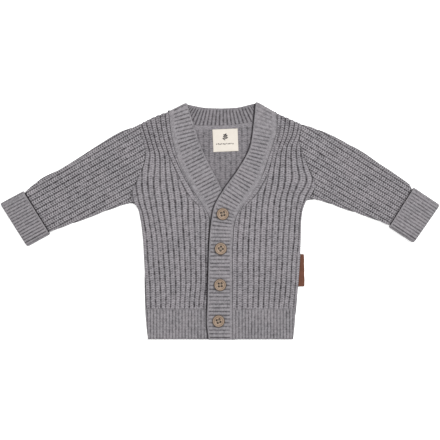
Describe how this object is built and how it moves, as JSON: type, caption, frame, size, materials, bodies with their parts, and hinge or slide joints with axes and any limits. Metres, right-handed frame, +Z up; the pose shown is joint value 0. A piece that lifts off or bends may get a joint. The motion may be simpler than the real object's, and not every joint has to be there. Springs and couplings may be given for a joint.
{
  "type": "baby cardigan",
  "caption": "Baby cardigan in chunky grey rib knit with a V neck, a buttoned front band, turned-back cuffs and a folded leather side tab, buttoned up and laid flat.",
  "frame": {"origin": "on the surface that the cardigan lies on, under the middle of its bounding box", "axes": "+X towards the wearer's left sleeve, +Y up the garment to the neck, +Z up out of the cloth"},
  "size_m": [0.5258, 0.2874, 0.0124],
  "materials": {
    "rib_knit": "matt heathered grey yarn in a chunky rib, with fine fibres",
    "trim_knit": "matt heathered grey yarn in a finer, tighter rib",
    "button": "turned brown wood-tone button with a darker rim, satin",
    "label": "cream woven label, matt",
    "leather": "brown leather, satin, with a fine grain"
  },
  "bodies": {
    "root": {"back": "rib_knit", "front_right": "rib_knit", "front_left": "rib_knit", "sleeve_right": "rib_knit", "sleeve_left": "rib_knit", "back_hem": "trim_knit", "hem_right": "trim_knit", "hem_left": "trim_knit", "cuff_right": "trim_knit", "cuff_left": "trim_knit", "band_right": "trim_knit", "band_left": "trim_knit", "band_neck": "trim_knit", "button_1": "button", "button_2": "button", "button_3": "button", "button_4": "button", "neck_label": "label", "side_tab": "leather"}
  },
  "joints": []
}
